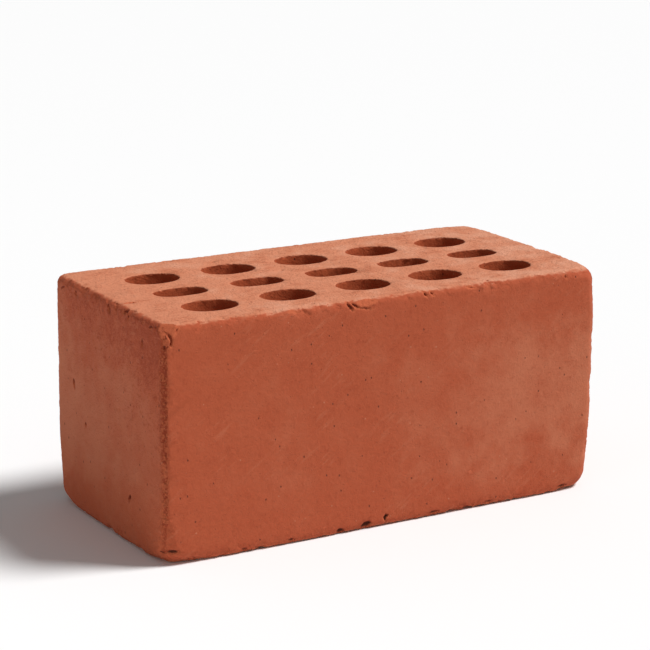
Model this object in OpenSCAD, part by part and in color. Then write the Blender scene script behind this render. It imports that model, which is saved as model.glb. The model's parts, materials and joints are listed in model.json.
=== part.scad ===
// Perforated clay brick, extruded on end and wire-cut to height.
// Millimetres, +Z up, origin at the middle of the lower bed face.
// X runs along the stretcher faces, Y across them, and the perforations run along Z.

/* [Body] */
// Length over the two header faces
brick_length = 250; // [230:1:300]
// Width over the two stretcher faces
brick_width = 120; // [112:1:150]
// Height between the two wire-cut bed faces
brick_height = 118; // [50:1:190]
// Radius of the four upright corners, formed by the die
corner_radius = 6; // [3:0.5:10]
// Radius of the arrises round the two bed faces
arris_radius = 4.5; // [2:0.5:8]

/* [Perforations] */
// Perforations in each row
holes_per_row = 5; // [1:1:5]
// Spacing of the perforations along the brick
hole_pitch = 42.8; // [36:0.2:44]
// Spacing of the three rows across the brick
row_pitch = 30.2; // [24:0.2:32]
// Length of a perforation in the two outer rows
outer_hole_length = 28.4; // [24:0.2:32]
// Width of a perforation in the two outer rows
outer_hole_width = 21.2; // [12:0.2:22]
// Radius of an outer perforation's ends, as a share of half its width
outer_end_roundness = 0.8; // [0.5:0.05:0.9]
// Length of a perforation in the middle row
middle_hole_length = 28; // [20:0.2:32]
// Width of a perforation in the middle row
middle_hole_width = 15.8; // [8:0.2:18]
// Radius of a middle perforation's ends, as a share of half its width
middle_end_roundness = 0.65; // [0.4:0.05:0.8]
// How far the whole bank of perforations sits off centre along the brick
bank_shift_along = -1; // [-3:0.5:3]
// How far the whole bank of perforations sits off centre across the brick
bank_shift_across = -3.5; // [-4:0.5:4]

/* [Hidden] */
$fn = 96;
// Cutters run this far past the bed faces
overcut = 5;
// End arcs are this much larger than tangent ones, so that they cross the side arcs cleanly
arc_lap = 0.05;

// Flat rectangle with four round corners, centred on the origin
module rounded_rectangle(size_x, size_y, radius) {
    square([size_x - 2 * radius, size_y], center = true);
    square([size_x, size_y - 2 * radius], center = true);
    for (side_x = [-1, 1], side_y = [-1, 1])
        translate([side_x * (size_x / 2 - radius), side_y * (size_y / 2 - radius)])
            circle(r = radius);
}

// Column of clay as it leaves the die: upright corners round, ends square
module extruded_column() {
    linear_extrude(height = brick_height)
        rounded_rectangle(brick_length, brick_width, corner_radius);
}

// Prism along Y that rounds the arrises over the two header faces
module header_arris_envelope() {
    translate([0, brick_width / 2 + overcut, brick_height / 2])
        rotate([90, 0, 0])
            linear_extrude(height = brick_width + 2 * overcut)
                rounded_rectangle(brick_length, brick_height, arris_radius);
}

// Prism along X that rounds the arrises over the two stretcher faces
module stretcher_arris_envelope() {
    translate([-brick_length / 2 - overcut, 0, brick_height / 2])
        rotate([90, 0, 90])
            linear_extrude(height = brick_length + 2 * overcut)
                rounded_rectangle(brick_width, brick_height, arris_radius);
}

// Oval of four arcs with its long way along X, centred on the origin
module four_arc_oval(size_x, size_y, end_roundness) {
    half_x = size_x / 2;
    half_y = size_y / 2;
    end_radius = end_roundness * half_y;
    end_centre = half_x - end_radius;
    side_radius = (end_centre ^ 2 + half_y ^ 2 - end_radius ^ 2) / (2 * (half_y - end_radius));
    // The side arcs stop where they would touch the end arcs
    join_x = end_centre * side_radius / (side_radius - end_radius);
    intersection() {
        square([2 * join_x, size_y], center = true);
        translate([0, half_y - side_radius]) circle(r = side_radius);
        translate([0, side_radius - half_y]) circle(r = side_radius);
    }
    for (side = [-1, 1])
        translate([side * (end_centre - arc_lap), 0])
            circle(r = end_radius + arc_lap);
}

// Oval core that leaves one perforation
module perforation(hole_length, hole_width, end_roundness) {
    translate([0, 0, -overcut])
        linear_extrude(height = brick_height + 2 * overcut)
            four_arc_oval(hole_length, hole_width, end_roundness);
}

// One row of perforations along X
module perforation_row(hole_length, hole_width, end_roundness) {
    for (i = [0 : holes_per_row - 1])
        translate([(i - (holes_per_row - 1) / 2) * hole_pitch, 0, 0])
            perforation(hole_length, hole_width, end_roundness);
}

// Three rows: wide ovals at both sides and narrow ones down the middle
module perforation_bank() {
    translate([bank_shift_along, bank_shift_across, 0]) {
        for (side = [-1, 1])
            translate([0, side * row_pitch, 0])
                perforation_row(outer_hole_length, outer_hole_width, outer_end_roundness);
        perforation_row(middle_hole_length, middle_hole_width, middle_end_roundness);
    }
}

// The fired brick is one solid
module brick_body() {
    color([0.69, 0.35, 0.24])
        difference() {
            intersection() {
                extruded_column();
                header_arris_envelope();
                stretcher_arris_envelope();
            }
            perforation_bank();
        }
}

brick_body();
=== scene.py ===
import json
import math
import bpy
from mathutils import Matrix, Vector


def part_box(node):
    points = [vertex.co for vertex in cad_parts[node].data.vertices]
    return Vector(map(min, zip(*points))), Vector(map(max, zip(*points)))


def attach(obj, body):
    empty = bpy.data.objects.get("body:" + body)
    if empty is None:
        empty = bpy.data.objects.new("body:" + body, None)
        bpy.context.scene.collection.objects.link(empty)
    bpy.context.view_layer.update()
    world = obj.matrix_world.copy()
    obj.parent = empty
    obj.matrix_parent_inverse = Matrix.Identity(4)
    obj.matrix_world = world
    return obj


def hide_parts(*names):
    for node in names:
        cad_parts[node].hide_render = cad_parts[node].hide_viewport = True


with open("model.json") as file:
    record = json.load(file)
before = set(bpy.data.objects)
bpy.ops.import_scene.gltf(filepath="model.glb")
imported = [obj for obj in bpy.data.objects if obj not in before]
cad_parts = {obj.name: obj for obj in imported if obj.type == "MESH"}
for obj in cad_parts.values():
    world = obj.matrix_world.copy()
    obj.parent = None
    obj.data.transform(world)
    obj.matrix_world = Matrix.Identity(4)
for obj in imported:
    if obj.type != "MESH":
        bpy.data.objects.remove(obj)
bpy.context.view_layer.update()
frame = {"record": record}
print("frame loaded")

# Everything below is in millimetres until it leaves a node tree
perMetre = 1000
low, high = (corner * perMetre for corner in map(Vector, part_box("brick_body")))
left, front, bottom = low
top = high.z


# Node trees are written as sums: a socket takes a plain value or another node's output
def plug(tree, socket, value):
    if isinstance(value, Field):
        tree.links.new(value.socket, socket)
    else:
        socket.default_value = value


class Field:
    # A number or vector that nodes work out at each point: sums on it add the nodes
    def __init__(self, tree, socket):
        self.tree = tree
        self.socket = socket

    def calc(self, operation, *others, kind="ShaderNodeMath", output=0):
        node = self.tree.nodes.new(kind)
        node.operation = operation
        for socket, value in zip(node.inputs, (self, *others)):
            plug(self.tree, socket, value)
        return Field(self.tree, node.outputs[output])

    def __add__(self, other):
        return self.calc("ADD", other)

    def __sub__(self, other):
        return self.calc("SUBTRACT", other)

    def __rsub__(self, other):
        return self.calc("MULTIPLY_ADD", -1.0, other)

    def __mul__(self, other):
        return self.calc("MULTIPLY", other)

    def __truediv__(self, other):
        return self.calc("DIVIDE", other)

    def __rtruediv__(self, other):
        return self.calc("POWER", -1.0) * other

    __radd__ = __add__
    __rmul__ = __mul__

    def __abs__(self):
        return self.calc("ABSOLUTE")

    def atLeast(self, other):
        return self.calc("MAXIMUM", other)

    def atMost(self, other):
        return self.calc("MINIMUM", other)

    # The larger of two, with their meeting rounded over a width
    def eased(self, other, width):
        return self.calc("SMOOTH_MAX", other, width)

    def vector(self, operation, *others, output=0):
        return self.calc(operation, *others, kind="ShaderNodeVectorMath", output=output)

    def scaled(self, amount):
        node = self.tree.nodes.new("ShaderNodeVectorMath")
        node.operation = "SCALE"
        plug(self.tree, node.inputs[0], self)
        plug(self.tree, node.inputs["Scale"], amount)
        return Field(self.tree, node.outputs[0])

    def length(self):
        return self.vector("LENGTH", output=1)

    def parts(self):
        node = self.tree.nodes.new("ShaderNodeSeparateXYZ")
        plug(self.tree, node.inputs[0], self)
        return [Field(self.tree, socket) for socket in node.outputs]

    # 0 below the first value, 1 above the second, and smooth between them
    def rise(self, start, end):
        node = self.tree.nodes.new("ShaderNodeMapRange")
        node.interpolation_type = "SMOOTHSTEP"
        plug(self.tree, node.inputs["Value"], self)
        plug(self.tree, node.inputs["From Min"], start)
        plug(self.tree, node.inputs["From Max"], end)
        return Field(self.tree, node.outputs["Result"])


def joined(tree, x, y, z=0.0):
    node = tree.nodes.new("ShaderNodeCombineXYZ")
    for socket, value in zip(node.inputs, (x, y, z)):
        plug(tree, socket, value)
    return Field(tree, node.outputs[0])


# Fractal noise from 0 to 1, with its largest lumps about one grain across
def noise(place, grain, detail=2.0, roughness=0.5, output="Fac"):
    node = place.tree.nodes.new("ShaderNodeTexNoise")
    plug(place.tree, node.inputs["Vector"], place)
    node.inputs["Scale"].default_value = 1 / grain
    node.inputs["Detail"].default_value = detail
    node.inputs["Roughness"].default_value = roughness
    return Field(place.tree, node.outputs[output])


# Scattered cells: how far the nearest cell's middle is, in grains, and the cell's own colour
def cells(place, grain):
    node = place.tree.nodes.new("ShaderNodeTexVoronoi")
    plug(place.tree, node.inputs["Vector"], place)
    node.inputs["Scale"].default_value = 1 / grain
    return Field(place.tree, node.outputs["Distance"]), Field(place.tree, node.outputs["Color"])


# Where the perforations are, as the record gives them
openings = {entry["name"]: entry["box_m"] for entry in frame["record"]["physics"]["openings"]}


def openingCentre(name):
    lowest, highest = openings[name]
    return [(a + b) / 2 * perMetre for a, b in zip(lowest, highest)]


firstHole = openingCentre("front_perforation_1")
lastHole = openingCentre("back_perforation_5")
columns = 5
rows = 3

brick = {
    "cornerRadius": 5.2,
    "arrisRadius": 3.4,
    "footRadius": 6.0,  # extra rounding at the four lower corners
    "crownRadius": 4.5,  # and at the upper ones, most on the right
    "nearRadius": 2.0,  # the near upright arris, before it was broken away
    "outerHole": (28.4, 21.2),
    "middleHole": (28.0, 15.8),
    "squareness": (2.15, 2.6),  # 2 is an ellipse, more is squarer: the outer rows, the middle row
    "rimRadius": 0.9,
    "waviness": 0.5,
    "wear": 1.0,
    "seed": 7,
    "voxel": 1.15,
    "margin": 2.0,  # room round the block for its volume
    "band": 6.0,  # how far the volume takes to thin out to nothing
    "settling": (0.9, 0.8, 0.7, 0.7),  # share of the way that is left, for each step
    "triangles": 192000,
}

# Knocks and pits that are worth placing one by one: the middle, the three radii, and the turn in
# degrees
knocks = [
    # the flake off the front top arris, with the two cuts it broke from
    ((-14, front - 1.5, top + 0.5), (9.0, 3.0, 4.6), (0, 6, 0)),
    ((-24.2, front + 0.2, top - 2.8), (1.0, 2.6, 3.2), (0, 40, 0)),
    ((-21.4, front + 0.2, top - 2.6), (0.8, 2.4, 2.6), (0, 58, 0)),
    ((-16, front - 0.2, top - 4.6), (6.0, 1.2, 0.5), (0, -12, 0)),
    # smaller nicks along the same arris
    ((-56, front, top - 1.4), (3.0, 1.6, 0.8), (0, -10, 0)),
    ((19, front, top - 1.8), (0.8, 1.8, 2.0), (0, 35, 0)),
    ((23, front, top - 2.0), (0.8, 1.8, 2.0), (0, 35, 0)),
    ((46, front, top - 1.6), (2.6, 1.5, 0.8), (0, -12, 0)),
    ((104, front, top - 2.6), (0.6, 1.0, 1.6), (0, 30, 0)),
    # the crevice over the spall at the near top corner, and the pits under it
    ((-122.6, front + 3.2, top - 3.9), (0.9, 2.0, 2.3), (0, 58, 0)),
    ((-121.5, front + 0.8, top - 5.3), (0.9, 1.8, 2.1), (0, 30, 0)),
    ((-120.7, front + 0.2, top - 7.4), (0.6, 1.2, 1.6), (0, 5, 0)),
    ((-121, front + 0.6, top - 9.0), (0.7, 1.4, 1.2), (0, 0, 0)),
    ((-122.8, front + 2.0, top - 10.4), (2.2, 2.0, 0.8), (0, 0, 0)),
    ((-117.5, front, top - 2.6), (0.7, 1.2, 2.6), (0, -35, 0)),
    # the dark mouth of the crack low on the near corner
    ((-121, front + 0.6, bottom + 7.0), (3.8, 3.2, 1.1), (0, 4, 0)),
    # along the front lower arris
    ((-82, front, bottom + 2), (1.6, 1.2, 1.0), (0, 0, 0)),
    ((-56, front, bottom + 2), (2.0, 1.4, 1.2), (0, 0, 0)),
    ((-28, front + 0.6, bottom + 1.8), (2.4, 2.2, 1.4), (0, -15, 0)),
    ((-13, front + 0.6, bottom + 2.6), (3.0, 2.2, 1.7), (0, 10, 0)),
    ((-2, front, bottom + 4.2), (0.9, 3.0, 2.6), (0, 0, 0)),
    ((-1.6, front, bottom + 5.0), (2.0, 2.2, 0.9), (0, 20, 0)),
    ((27, front, bottom + 2), (3.2, 1.4, 1.2), (0, 0, 0)),
    ((60, front, bottom + 2), (2.6, 1.2, 1.0), (0, 0, 0)),
    ((107, front, bottom + 3), (3.4, 1.4, 1.1), (0, 0, 0)),
    # the left header face
    ((left, 38, 66), (2.0, 1.0, 2.6), (12, 0, 0)),
    ((left, -38, 105), (2.0, 0.9, 2.2), (0, 0, 0)),
    ((left, -23, 24), (1.8, 0.9, 2.2), (-25, 0, 0)),
    ((left, 25, 48), (1.4, 0.8, 1.4), (0, 0, 0)),
    ((left, 55, 14), (1.8, 1.0, 2.6), (15, 0, 0)),
    # the arris over the header
    ((left + 1, 49, top - 5), (1.3, 2.8, 0.8), (20, 0, 0)),
    ((left + 1, 34, top - 5), (1.6, 1.4, 1.6), (0, 0, 0)),
    ((left + 1, -3, top - 4.4), (1.9, 1.5, 2.8), (15, 0, 0)),
    ((left + 1, -20, top - 2), (1.4, 3.0, 1.1), (25, 0, 0)),
    ((left + 1, -24, top - 4), (1.2, 1.0, 1.6), (0, 0, 0)),
    ((left + 1.4, -39, top - 3), (1.5, 2.4, 0.9), (20, 0, 0)),
    ((left + 1.4, -47, top - 3.4), (1.8, 2.8, 1.1), (10, 0, 0)),
    ((-118, -12, top), (2.6, 1.0, 0.9), (0, 0, 8)),
]

# Pieces split off along planes: each plane is a point on it and the way out of the brick
splits = [
    # the top of the near corner, rounded off roughly
    [
        ((left + 3.2, front + 3.2, top - 1.2), (-0.42, -0.50, 0.76)),
    ],
    # the spall at the near top corner: a facet that catches the light
    [
        ((left + 2.0, front + 2.0, top - 5.2), (-0.55, -0.62, 0.56)),
    ],
    # the crack across the near lower corner
    [
        ((left + 3.8, front + 3.8, bottom + 6.6), (-0.25, -0.35, 0.90)),
        ((left + 3.8, front + 3.8, bottom + 6.6), (-0.20, -0.30, -0.93)),
        ((left + 8.0, front, bottom + 6.0), (-0.98, 0.0, 0.2)),
    ],
    # and the lip that has sunk back under it
    [
        ((left + 2.4, front + 2.4, bottom + 5.0), (-0.60, -0.75, 0.25)),
        ((left + 3.8, front + 3.8, bottom + 6.6), (-0.20, -0.30, -0.93)),
        ((left + 8.0, front, bottom + 6.0), (-0.98, 0.0, 0.2)),
    ],
]


def roundedBlock(tree, place, take):
    x, y, z = place.parts()
    besideX = take["Length"] / 2 - abs(x)
    besideY = take["Width"] / 2 - abs(y)
    height = take["Height"]
    # the lower corners are rounder than the rest, and the upper ones a little, most on the right
    atCorner = 1.0 - joined(tree, besideX, besideY).length().rise(2.0, 24.0)
    atNear = 1.0 - (x - left + y - front).rise(10.0, 40.0)
    extra = (1.0 - z.rise(2.0, 40.0)) * take["Foot Radius"]
    crown = z.rise(height - 30.0, height) * take["Crown Radius"] * x.rise(-180.0, 60.0)
    extra = extra + crown * (1.0 - atNear)
    corner = take["Corner Radius"] + atCorner * extra * 0.8
    corner = corner + atNear * z.rise(2.0, 24.0) * (take["Near Radius"] - take["Corner Radius"])
    arris = take["Arris Radius"] + atCorner * extra
    alongX = corner - besideX
    alongY = corner - besideY
    outside = joined(tree, alongX.atLeast(0.0), alongY.atLeast(0.0)).length()
    plan = outside + alongX.atLeast(alongY).atMost(0.0) - corner
    sideways = plan + arris
    upward = abs(z - height / 2) - height / 2 + arris
    outside = joined(tree, sideways.atLeast(0.0), upward.atLeast(0.0)).length()
    return outside + sideways.atLeast(upward).atMost(0.0) - arris


# Distance to the nearest perforation's wall, worked out for all of them at once
def perforations(tree, place, take):
    x, y, _ = place.parts()
    fromX = x - take["First Hole X"]
    fromY = y - take["First Hole Y"]
    column = (fromX / take["Column Pitch"]).calc("ROUND").atLeast(0.0).atMost(take["Columns"] - 1.0)
    row = (fromY / take["Row Pitch"]).calc("ROUND").atLeast(0.0).atMost(take["Rows"] - 1.0)
    middle = 1.0 - abs(row - (take["Rows"] - 1.0) / 2).atMost(1.0)
    halfLength = (take["Outer Length"] + middle * (take["Middle Length"] - take["Outer Length"])) / 2
    halfWidth = (take["Outer Width"] + middle * (take["Middle Width"] - take["Outer Width"])) / 2
    power = take["Outer Squareness"] + middle * (take["Middle Squareness"] - take["Outer Squareness"])
    across = abs(fromX - column * take["Column Pitch"]) / halfLength
    along = abs(fromY - row * take["Row Pitch"]) / halfWidth
    reach = (across.calc("POWER", power) + along.calc("POWER", power)).calc("POWER", 1.0 / power)
    steepX = across.calc("POWER", power - 1.0) / halfLength
    steepY = along.calc("POWER", power - 1.0) / halfWidth
    steepness = joined(tree, steepX, steepY).length().atLeast(0.0001)
    return (reach - 1.0) * reach.calc("POWER", power - 1.0) / steepness


# Takes an egg-shaped bite out of the clay, with a rugged wall
def bite(tree, clay, place, rugged, centre, radii, turn):
    local = place.vector("SUBTRACT", tuple(centre))
    if any(turn):
        node = tree.nodes.new("ShaderNodeVectorRotate")
        node.rotation_type = "EULER_XYZ"
        plug(tree, node.inputs["Vector"], local)
        node.inputs["Rotation"].default_value = [math.radians(angle) for angle in turn]
        local = Field(tree, node.outputs[0])
    egg = (local.vector("DIVIDE", tuple(radii)).length() - 1.0) * min(radii)
    return clay.eased(rugged - egg, 0.35)


# Takes out what lies on the outer side of every plane given, each as a point on it and its outward way
def wedge(tree, clay, place, rugged, planes):
    inside = None
    for point, way in planes:
        way = Vector(way).normalized()
        beyond = place.vector("DOT_PRODUCT", tuple(way), output=1) - way.dot(Vector(point))
        inside = beyond if inside is None else inside.atMost(beyond)
    return clay.eased(inside + rugged, 0.3)


def brickTree():
    tree = bpy.data.node_groups.new("perforatedBrick", "GeometryNodeTree")
    tree.is_modifier = True
    tree.interface.new_socket("Geometry", in_out="OUTPUT", socket_type="NodeSocketGeometry")
    names = [
        "Length", "Width", "Height", "Corner Radius", "Arris Radius", "Foot Radius", "Crown Radius",
        "Near Radius",
        "Columns", "Rows", "Column Pitch", "Row Pitch", "First Hole X", "First Hole Y",
        "Outer Length", "Outer Width", "Outer Squareness", "Middle Length", "Middle Width",
        "Middle Squareness", "Rim Radius", "Waviness", "Wear", "Seed",
    ]
    for name in names:
        tree.interface.new_socket(name, in_out="INPUT", socket_type="NodeSocketFloat")
    for axis in "XYZ":
        tree.interface.new_socket("Voxels " + axis, in_out="INPUT", socket_type="NodeSocketInt")
    tree.interface.new_socket("Clay", in_out="INPUT", socket_type="NodeSocketMaterial")
    start = tree.nodes.new("NodeGroupInput")
    take = {socket.name: Field(tree, socket) for socket in start.outputs if socket.name}
    position = Field(tree, tree.nodes.new("GeometryNodeInputPosition").outputs[0])
    still = position.vector("MULTIPLY", (perMetre, perMetre, perMetre))

    # the plain shape first, as the skin of a volume
    clay = roundedBlock(tree, still, take)
    clay = clay.eased(perforations(tree, still, take) * -1.0, take["Rim Radius"])
    volume = tree.nodes.new("GeometryNodeVolumeCube")
    plug(tree, volume.inputs["Density"], (0.5 - clay / brick["band"]).atLeast(0.0).atMost(1.0))
    margin = Vector((brick["margin"],) * 3)
    volume.inputs["Min"].default_value = (low - margin) / perMetre
    volume.inputs["Max"].default_value = (high + margin) / perMetre
    for axis in "XYZ":
        plug(tree, volume.inputs["Resolution " + axis], take["Voxels " + axis])
    skin = tree.nodes.new("GeometryNodeVolumeToMesh")
    skin.inputs["Threshold"].default_value = 0.5
    finer = tree.nodes.new("GeometryNodeSubdivideMesh")
    finer.inputs["Level"].default_value = 1
    wayOut = tree.nodes.new("GeometryNodeCaptureAttribute")
    wayOut.capture_items.new("VECTOR", "Way Out")
    normal = tree.nodes.new("GeometryNodeInputNormal")
    tree.links.new(normal.outputs[0], wayOut.inputs["Way Out"])
    geometry = chain(tree, volume.outputs[0], skin, finer, wayOut)

    # then every point of the skin settles on the worn shape, a step at a time
    worn, broken = wornClay(tree, still, take)
    outward = Field(tree, wayOut.outputs["Way Out"])
    for share in brick["settling"]:
        settle = tree.nodes.new("GeometryNodeSetPosition")
        step = outward.scaled(worn.atLeast(-1.0).atMost(1.5) * (-share / perMetre))
        plug(tree, settle.inputs["Offset"], step)
        geometry = chain(tree, geometry, settle)
    # each point keeps how far it is below the plain shape, and how far from a break
    below = clay * -1.0 * perforations(tree, still, take).rise(1.0, 3.0)
    for name, value in (("depth", below), ("nearBreak", broken.atLeast(-3.0).atMost(1.0))):
        keep = tree.nodes.new("GeometryNodeStoreNamedAttribute")
        keep.data_type = "FLOAT"
        keep.domain = "POINT"
        keep.inputs["Name"].default_value = name
        plug(tree, keep.inputs["Value"], value)
        geometry = chain(tree, geometry, keep)
    realize = tree.nodes.new("GeometryNodeRealizeInstances")
    wearing = tree.nodes.new("GeometryNodeSetMaterial")
    plug(tree, wearing.inputs["Material"], take["Clay"])
    end = tree.nodes.new("NodeGroupOutput")
    tree.links.new(chain(tree, geometry, realize, wearing), end.inputs[0])
    return tree


# Signed distances to the worn and chipped surface, and to the breaks alone, less than 0 in the clay
def wornClay(tree, still, take):
    seed = take["Seed"]
    seeded = still.vector("ADD", joined(tree, seed * 37.0, seed * 11.0, seed * 23.0))
    drift = noise(seeded, 45.0, 1.0, output="Color").vector("SUBTRACT", (0.5, 0.5, 0.5))
    place = still.vector("ADD", drift.scaled(take["Waviness"]))
    grit = noise(seeded, 2.4, 3.0, 0.65) - 0.5
    lumps = noise(seeded, 8.0, 3.0, 0.6) - 0.5
    patches = noise(seeded, 24.0, 2.0) - 0.5

    # arrises crumble in patches
    x, y, z = still.parts()
    besideX = take["Length"] / 2 - abs(x)
    besideY = take["Width"] / 2 - abs(y)
    besideZ = z.atMost(take["Height"] - z)
    arrisGap = besideX.atMost(besideY).atLeast(besideX.atLeast(besideY).atMost(besideZ))
    onArris = 1.0 - arrisGap.rise(1.0, 6.5)
    crumbling = onArris * (patches.rise(-0.15, 0.2) * 0.7 + 0.3) * take["Wear"]
    crumbling = crumbling * (1.0 - y.rise(0.0, 50.0) * 0.5)
    wander = noise(seeded, 4.0, 2.0, output="Color").scaled(2.4)
    _, flakeColour = cells(seeded.vector("ADD", wander), 4.4)
    flake = flakeColour.parts()[0]
    flakes = flake * flake * flake * 1.2
    outside = 1.0 - besideX.atMost(besideY).atMost(besideZ).rise(3.0, 6.0)
    clay = roundedBlock(tree, place, take)
    clay = clay + crumbling * (flakes + grit * 1.8 + lumps.rise(0.02, 0.14) * 0.8)
    clay = clay + lumps * 0.22 + grit * 0.24 * outside

    # the arrises by the near corner are broken away to a rough bevel
    upright = (x - left) * -0.77 - (y - front) * 0.64
    upright = upright + 1.9 + lumps * 1.2 + grit * 3.0 + flakes * 0.6
    overHeader = (x - left + top - z) * -0.7071
    overHeader = overHeader + 1.5 + lumps * 2.2 + grit * 1.2 + flakes * 0.4 + patches * 1.6
    clay = clay.eased(upright, 0.3).eased(overHeader, 0.4)

    # pores, drawn out along the way the clay was pushed through the die
    drawn = seeded.vector("MULTIPLY", (1.0, 1.0, 0.5))
    poreGap, poreColour = cells(drawn, 11.0)
    poreSize = poreColour.parts()[1].rise(0.5, 1.0)
    pore = (poreSize * 0.1 - poreGap) * 11.0
    clay = clay.eased(pore.atMost(1.0), 0.3)

    # the perforations are smooth inside, with a ragged rim
    atRim = 1.0 - besideZ.rise(0.4, 1.8)
    walls = perforations(tree, place, take)
    walls = walls + (noise(drawn, 9.0, 2.0) - 0.5) * 0.5 + (grit * 1.6 + lumps * 1.6) * atRim
    rim = take["Rim Radius"] * (noise(seeded, 8.0, 3.0, 0.6) * 1.6 + 0.1)
    clay = clay.eased(walls * -1.0, rim)

    broken = grit - 50.0
    for centre, radii, turn in knocks:
        broken = bite(tree, broken, place, grit * 0.8, centre, radii, turn)
    for planes in splits:
        broken = wedge(tree, broken, place, grit * 0.6, planes)
    clay = clay.eased(broken, 0.2)
    # never outside the true block, whose faces the clay was pressed against
    return clay.atLeast(besideX.atMost(besideY).atMost(besideZ) * -1.0), broken


# Runs geometry through the nodes in turn
def chain(tree, geometry, *nodes):
    for node in nodes:
        tree.links.new(geometry, node.inputs[0])
        geometry = node.outputs[0]
    return geometry


def evaluated(thing):
    bpy.context.view_layer.update()
    graph = bpy.context.evaluated_depsgraph_get()
    mesh = bpy.data.meshes.new_from_object(thing.evaluated_get(graph))
    thing.modifiers.clear()
    thing.data = mesh
    return mesh


def makeBrick(material):
    thing = bpy.data.objects.new("fired_brick", bpy.data.meshes.new("fired_brick"))
    bpy.context.collection.objects.link(thing)
    tree = brickTree()
    size = high - low
    values = {
        "Length": size.x, "Width": size.y, "Height": size.z,
        "Corner Radius": brick["cornerRadius"], "Arris Radius": brick["arrisRadius"],
        "Foot Radius": brick["footRadius"], "Crown Radius": brick["crownRadius"],
        "Near Radius": brick["nearRadius"],
        "Columns": float(columns), "Rows": float(rows),
        "Column Pitch": (lastHole[0] - firstHole[0]) / (columns - 1),
        "Row Pitch": (lastHole[1] - firstHole[1]) / (rows - 1),
        "First Hole X": firstHole[0], "First Hole Y": firstHole[1],
        "Outer Length": brick["outerHole"][0], "Outer Width": brick["outerHole"][1],
        "Middle Length": brick["middleHole"][0], "Middle Width": brick["middleHole"][1],
        "Outer Squareness": brick["squareness"][0], "Middle Squareness": brick["squareness"][1],
        "Rim Radius": brick["rimRadius"], "Waviness": brick["waviness"],
        "Wear": brick["wear"], "Seed": float(brick["seed"]),
        "Clay": material,
    }
    for axis, reach in zip("XYZ", size):
        values["Voxels " + axis] = round((reach + 2 * brick["margin"]) / brick["voxel"]) + 1
    modifier = thing.modifiers.new("perforatedBrick", "NODES")
    modifier.node_group = tree
    for item in tree.interface.items_tree:
        if item.in_out == "INPUT":
            modifier[item.identifier] = values[item.name]
    mesh = evaluated(thing)
    print("brick meshed:", len(mesh.polygons), "faces")
    thinning = thing.modifiers.new("thinning", "DECIMATE")
    thinning.ratio = min(1.0, brick["triangles"] / (2 * len(mesh.polygons)))
    thinning.use_collapse_triangulate = True
    mesh = evaluated(thing)
    mesh.shade_smooth()
    for index in reversed(range(len(mesh.materials))):
        if mesh.materials[index] is None:
            mesh.materials.pop(index=index)
    print("brick thinned:", len(mesh.polygons), "faces")
    return thing


# The clay's colours, some of them lit and shaded copies that stand for painted light and shade, and
# how it takes the light
firedClay = {
    "skin": (0.435, 0.086, 0.033),
    "dusty": (0.520, 0.155, 0.076),
    "deep": (0.340, 0.056, 0.019),
    # the bed tones are paler than the sides, partly the real wire-cut skin and partly a painted sheen
    "bed": (0.640, 0.230, 0.122),
    "bedDusty": (0.690, 0.300, 0.182),
    "bedDeep": (0.470, 0.125, 0.053),
    # raw and fresh are broken clay pushed to a shaded and a lit copy: raw is deepened into painted
    # shade, fresh is the painted highlight
    "raw": (0.265, 0.036, 0.010),
    "fresh": (0.530, 0.120, 0.047),
    "core": (0.520, 0.104, 0.033),
    "sand": (0.700, 0.400, 0.240),
    # pore is near black, used as painted shade in cuts, pores and pits
    "pore": (0.060, 0.014, 0.006),
    "roughness": 0.9,
    "gloss": 0.3,
}


def mixed(start, end, amount):
    tree = amount.tree
    node = tree.nodes.new("ShaderNodeMix")
    node.data_type = "RGBA"
    plug(tree, node.inputs[0], amount)
    colours = [socket for socket in node.inputs if socket.type == "RGBA"]
    for socket, colour in zip(colours, (start, end)):
        plug(tree, socket, colour if isinstance(colour, Field) else (*colour, 1.0))
    return Field(tree, next(socket for socket in node.outputs if socket.type == "RGBA"))


# Makes a shader node group out of its inputs with their values, its outputs, and what joins them
def effect(name, inputs, outputs, write):
    group = bpy.data.node_groups.new(name, "ShaderNodeTree")
    for label, kind, value in inputs:
        socket = group.interface.new_socket(label, in_out="INPUT", socket_type="NodeSocket" + kind)
        if value is not None:
            socket.default_value = value
    for label, kind in outputs:
        group.interface.new_socket(label, in_out="OUTPUT", socket_type="NodeSocket" + kind)
    start = group.nodes.new("NodeGroupInput")
    end = group.nodes.new("NodeGroupOutput")
    results = write(*[Field(group, socket) for socket in start.outputs if socket.name])
    for socket, result in zip(end.inputs, results):
        plug(group, socket, result)
    return group


def placed(tree, group, *values):
    node = tree.nodes.new("ShaderNodeGroup")
    node.node_tree = group
    for socket, value in zip(node.inputs, values):
        plug(tree, socket, value)
    outputs = [Field(tree, socket) for socket in node.outputs]
    return outputs if len(outputs) > 1 else outputs[0]


def writeMottle(place, blotch, contrast):
    tone = noise(place.scaled(1.0 / blotch), 1.0, 4.0, 0.55)
    return [(tone - 0.5) * contrast]


def writeSpecks(place, spacing, size, share):
    spread = place.scaled(1.0 / spacing)
    gap, colour = cells(spread, 1.0)
    chance, wideness, _ = colour.parts()
    reach = size * (0.4 + wideness)
    spot = 1.0 - (gap / reach).rise(0.5, 1.0)
    return [spot * share.calc("GREATER_THAN", chance)]


def writeDragLines(place, way):
    lines = noise(place.vector("MULTIPLY", way), 1.5, 3.0, 0.6)
    return [lines - 0.5]


# Soft blotches about 0
mottle = effect(
    "mottle",
    [("Place", "Vector", None), ("Blotch", "Float", 30.0), ("Contrast", "Float", 1.0)],
    [("Tone", "Float")],
    writeMottle,
)
# Specks, at most one to a cell, in a share of the cells
specks = effect(
    "specks",
    [
        ("Place", "Vector", None), ("Spacing", "Float", 4.0),
        ("Size", "Float", 0.1), ("Share", "Float", 0.5),
    ],
    [("Mask", "Float")],
    writeSpecks,
)
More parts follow.
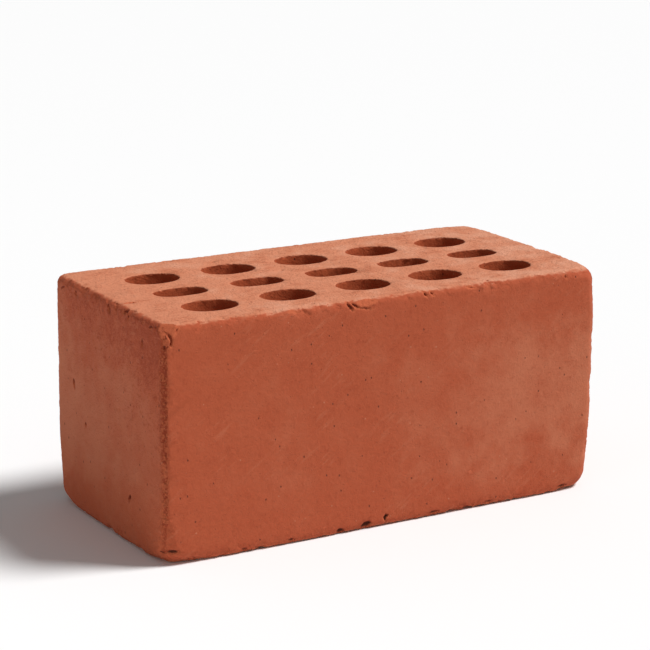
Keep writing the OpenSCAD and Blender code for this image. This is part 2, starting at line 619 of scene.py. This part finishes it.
# Faint lines where the clay was dragged past the die or the wire
dragLines = effect(
    "dragLines",
    [("Place", "Vector", None), ("Way", "Vector", (1.0, 1.0, 0.1))],
    [("Height", "Float")],
    writeDragLines,
)


def clayMaterial():
    material = bpy.data.materials.new("firedClay")
    material.use_nodes = True
    tree = material.node_tree
    shader = tree.nodes["Principled BSDF"]
    shader.inputs["Specular IOR Level"].default_value = firedClay["gloss"]
    coordinates = tree.nodes.new("ShaderNodeTexCoord")
    place = Field(tree, coordinates.outputs["Object"]).vector("MULTIPLY", (perMetre,) * 3)
    facing = Field(tree, tree.nodes.new("ShaderNodeNewGeometry").outputs["Normal"])
    kept = []
    for name in ("depth", "nearBreak"):
        node = tree.nodes.new("ShaderNodeAttribute")
        node.attribute_name = name
        kept.append(Field(tree, node.outputs["Fac"]))
    depth, nearBreak = kept
    x, y, z = place.parts()
    facingX, _, facingZ = facing.parts()

    broad = placed(tree, mottle, place, 42.0, 2.4)
    patch = placed(tree, mottle, place, 13.0, 2.4)
    small = placed(tree, mottle, place, 4.0, 2.2)
    grain = placed(tree, mottle, place, 1.1, 2.0)
    fine = placed(tree, mottle, place, 0.5, 2.0)

    # the wire-cut bed faces are paler, partly their own skin and partly a painted sheen, up to a
    # wandering line where the arris turns over
    toBed = z.atMost(high.z - z)
    inset = (high.x - abs(x)).atMost(high.y - abs(y))
    level = abs(facingZ) + small * 0.06 + grain * 0.04 + inset.rise(4.0, 8.0) * 0.4
    bed = (1.0 - toBed.rise(1.4, 2.6)) * level.rise(0.62, 0.98)
    bed = bed * (x - left + small * 2.0 + grain).rise(1.0, 3.6)

    # dust lies on the middle of the sides, and thickest to the right of the long ones
    onHeader = abs(facingX).rise(0.5, 0.9)
    paleness = x.rise(-30.0, 100.0) * 0.7 * (1.0 - onHeader)
    paleness = paleness + onHeader * (0.40 + y.rise(-50.0, 50.0) * 0.4)
    lowDown = onHeader * (1.0 - z.rise(20.0, 70.0))
    paleness = paleness * (toBed + lowDown * 12.0 + patch * 16.0 + broad * 16.0).rise(2.0, 50.0)
    paleness = paleness + broad * 0.4 + patch * 0.3 + small * 0.2
    colour = mixed(firedClay["skin"], firedClay["dusty"], paleness.rise(-0.1, 1.1))
    alongWall = placed(tree, dragLines, place, (1.0, 1.0, 0.2))
    darkness = (small * 0.8 - patch * 0.4) * (1.0 + onHeader * 0.3)
    darkness = darkness + (grain * 0.6 + fine * 0.2) * (1.0 + onHeader)
    darkness = darkness + alongWall * 0.35 - onHeader * y.rise(-30.0, 50.0) * 0.3 - lowDown * 0.4
    # the header darkens towards its top, most at its front end
    darkness = darkness + onHeader * z.rise(70.0, 110.0) * (1.0 - y.rise(-60.0, -10.0)) * 0.5
    darkness = darkness + (z + patch * 10.0).rise(70.0, 118.0) * onHeader * 0.6
    # painted shade: darker along the foot, against the floor light on the lower arris
    darkness = darkness + (1.0 - z.rise(1.0, 9.0)) * 0.35
    # painted light: the foot of the header is lighter and mixed towards fresh orange, making up for
    # floor light kept off by the brick's own shadow
    colour = mixed(colour, firedClay["fresh"], lowDown * (1.0 - z.rise(15.0, 45.0)) * 0.4)
    colour = mixed(colour, firedClay["deep"], darkness.rise(-0.1, 1.2))
    # scuffs run aslant on the sides
    aslant = joined(tree, x * 0.8 + z * 0.6, y * 0.8 + z * 0.4, z * 0.8 - x * 0.6)
    scuff = noise(aslant.vector("MULTIPLY", (0.16, 0.3, 1.0)), 2.4, 4.0, 0.65)
    scuff = scuff.rise(0.52, 0.72) * noise(place, 30.0, 2.0).rise(0.42, 0.62)
    colour = mixed(colour, firedClay["dusty"], scuff * 0.4)

    bedTone = broad * 0.6 + patch * 1.0 + small * 0.5 + x.rise(0.0, 125.0) * 0.4
    bedTone = bedTone + y.rise(-20.0, 60.0) * 0.2 + (1.0 - y.rise(-60.0, -35.0)) * 0.35
    bedTone = bedTone - (1.0 - x.rise(-125.0, -50.0)) * 0.3
    bedSkinAndSheen = mixed(firedClay["bed"], firedClay["bedDusty"], (bedTone + 0.05).rise(0.0, 1.0))
    streak = noise(place.vector("MULTIPLY", (0.16, 1.0, 1.0)), 1.6, 3.0, 0.6) - 0.5
    bedDarkness = small * 0.5 + grain * 0.4 - patch * 0.7 + streak * 1.3
    bedSkinAndSheen = mixed(bedSkinAndSheen, firedClay["bedDeep"], bedDarkness.rise(-0.1, 0.9))
    colour = mixed(colour, bedSkinAndSheen, bed)

    # the walls of the perforations are clean and deep
    walls = inset.rise(8.0, 12.0) * toBed.rise(0.3, 1.5)
    colour = mixed(colour, firedClay["core"], walls * 0.85)

    # broken clay has its own raw colour, with a painted highlight of fresh orange on the facets that
    # look up and painted shade in its hollows, its overhangs and along the near upright arris
    nearArris = 1.0 - (x - left + grain * 0.7 + small * 0.6).rise(1.8, 2.6)
    nearArris = nearArris * (1.0 - (y - front + small * 3.0 + patch * 3.0).rise(1.5, 7.0))
    nearArris = nearArris * (1.0 - z.rise(high.z - 12.0, high.z - 9.0))
    raw = (depth + grain * 0.3).rise(0.5, 1.1) * (1.0 - walls)
    raw = raw.atLeast((nearBreak + grain * 0.15).rise(-0.45, -0.1)).atLeast(nearArris * 0.9)
    onBreak = nearBreak.rise(-0.5, -0.1)
    cut = (depth + grain * 0.3).rise(0.3, 1.2).atLeast(onHeader * 0.7) * onBreak
    # painted shade: more where a facet looks down, lies in a cut or runs along the near upright arris,
    # over random tone
    breakShadeAndTone = small * 0.6 + grain * (0.6 + nearArris * 0.8)
    breakShadeAndTone = breakShadeAndTone + nearArris * (0.3 + z.rise(30.0, 90.0) * 0.35)
    breakShadeAndTone = breakShadeAndTone + cut - facingZ * 1.6
    brokenLitAndShaded = mixed(firedClay["fresh"], firedClay["raw"], (breakShadeAndTone + 0.2).rise(0.0, 1.1))
    colour = mixed(colour, brokenLitAndShaded, raw * 0.95)
    # painted shade, near black, in the cuts that face down and in those near the foot
    nearFoot = 1.0 - z.rise(8.0, 20.0)
    sheltered = 0.3 - facingZ + grain * 0.3 + nearFoot * 1.2
    dark = cut * sheltered.rise(0.0, 0.8)
    colour = mixed(colour, firedClay["pore"], dark * (0.55 + nearFoot * 0.3))

    sand = placed(tree, specks, place, 5.0, 0.085, 0.35)
    pores = placed(tree, specks, place.vector("MULTIPLY", (1.0, 1.0, 0.6)), 4.2, 0.095, 0.5)
    dots = placed(tree, specks, place.vector("ADD", (3.0, 5.0, 7.0)), 1.7, 0.18, 0.35)
    sandy = sand * 0.22 + nearArris * (grain - 0.3).rise(0.0, 0.5) * 0.18
    colour = mixed(colour, firedClay["sand"], sandy)
    # painted shade in the pores and tiny pits, which the bump also presses in
    colour = mixed(colour, firedClay["pore"], pores * 0.7 + dots * (0.22 + bed * 0.15))
    plug(tree, shader.inputs["Base Color"], colour)
    plug(tree, shader.inputs["Roughness"], firedClay["roughness"] + grain * 0.06)

    height = grain * (0.13 + bed * 0.18 + onHeader * 0.10) + fine * (0.06 + onHeader * 0.08)
    height = height + small * (0.20 + bed * 0.35 + onHeader * 0.20)
    height = height + alongWall * 0.04 * (1.0 - bed) + streak * 0.7 * bed
    height = height + raw * (noise(place, 1.7, 4.0, 0.7) - 0.5) * (1.0 - onBreak * 0.4)
    height = height + sand * 0.08 - pores * 0.35 - dots * (0.15 + bed * 0.15) + scuff * 0.05
    bump = tree.nodes.new("ShaderNodeBump")
    bump.inputs["Distance"].default_value = 1 / perMetre
    plug(tree, bump.inputs["Height"], height)
    tree.links.new(bump.outputs["Normal"], shader.inputs["Normal"])
    return material


claySkin = clayMaterial()
body = makeBrick(claySkin)
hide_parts("brick_body")
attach(body, "root")
print("brick in place")


# Floor, light and camera
studio = {
    "floorColour": (0.9, 0.9, 0.9, 1),
    "floorRoughness": 0.9,
    "floorReach": 8.0,
    "sky": 0.22,
    "keyWay": (0.50, -0.25, 0.83),
    "keySoftness": 18,
    "keyStrength": 3.38,
    "fillSpot": (-1.0, -0.25, 0.12),
    "fillSize": (0.5, 0.2),
    "fillPower": 1.02,
    "focalLength": 131.8,
    "azimuth": -31.13,
    "elevation": 14.81,
    "roll": 0.60,
    "distance": 1.2187,
    "aimHeight": 0.060,
    "slide": (-0.00152, 0.02824),
}


def makeFloor():
    mesh = bpy.data.meshes.new("floor")
    reach = studio["floorReach"]
    corners = [(-reach, -reach, 0), (reach, -reach, 0), (reach, reach, 0), (-reach, reach, 0)]
    mesh.from_pydata(corners, [], [(0, 1, 2, 3)])
    floor = bpy.data.objects.new("floor", mesh)
    bpy.context.collection.objects.link(floor)
    paint = bpy.data.materials.new("floor")
    paint.use_nodes = True
    shader = paint.node_tree.nodes["Principled BSDF"]
    shader.inputs["Base Color"].default_value = studio["floorColour"]
    shader.inputs["Roughness"].default_value = studio["floorRoughness"]
    mesh.materials.append(paint)


def makeKey():
    lamp = bpy.data.lights.new("key", "SUN")
    lamp.energy = studio["keyStrength"]
    lamp.angle = math.radians(studio["keySoftness"])
    thing = bpy.data.objects.new("key", lamp)
    bpy.context.collection.objects.link(thing)
    thing.rotation_euler = Vector(studio["keyWay"]).to_track_quat("Z", "Y").to_euler()


def makeFill():
    lamp = bpy.data.lights.new("fill", "AREA")
    lamp.shape = "RECTANGLE"
    lamp.size, lamp.size_y = studio["fillSize"]
    lamp.energy = studio["fillPower"]
    thing = bpy.data.objects.new("fill", lamp)
    bpy.context.collection.objects.link(thing)
    thing.location = studio["fillSpot"]
    away = thing.location - Vector((0, 0, studio["aimHeight"]))
    thing.rotation_euler = away.to_track_quat("Z", "Y").to_euler()


def makeCamera():
    turn = math.radians(studio["azimuth"])
    rise = math.radians(studio["elevation"])
    roll = math.radians(studio["roll"])
    flat = math.cos(rise)
    backward = Vector((math.sin(turn) * flat, -math.cos(turn) * flat, math.sin(rise)))
    sideways = Vector((0, 0, 1)).cross(backward).normalized()
    upward = backward.cross(sideways)
    cameraX = math.cos(roll) * sideways + math.sin(roll) * upward
    cameraY = math.cos(roll) * upward - math.sin(roll) * sideways
    slideX, slideY = studio["slide"]
    aim = Vector((0, 0, studio["aimHeight"]))
    spot = aim + backward * studio["distance"] + cameraX * slideX + cameraY * slideY
    lens = bpy.data.cameras.new("camera")
    lens.lens = studio["focalLength"]
    lens.sensor_width = 36
    thing = bpy.data.objects.new("camera", lens)
    bpy.context.collection.objects.link(thing)
    axes = Matrix((cameraX, cameraY, backward)).transposed()
    thing.matrix_world = Matrix.Translation(spot) @ axes.to_4x4()
    bpy.context.scene.camera = thing


makeFloor()
makeKey()
makeFill()
makeCamera()
world = bpy.data.worlds.new("studio")
world.use_nodes = True
background = world.node_tree.nodes["Background"]
background.inputs["Color"].default_value = (1, 1, 1, 1)
background.inputs["Strength"].default_value = studio["sky"]
bpy.context.scene.world = world
bpy.context.scene.view_settings.view_transform = "Standard"
print("studio set")
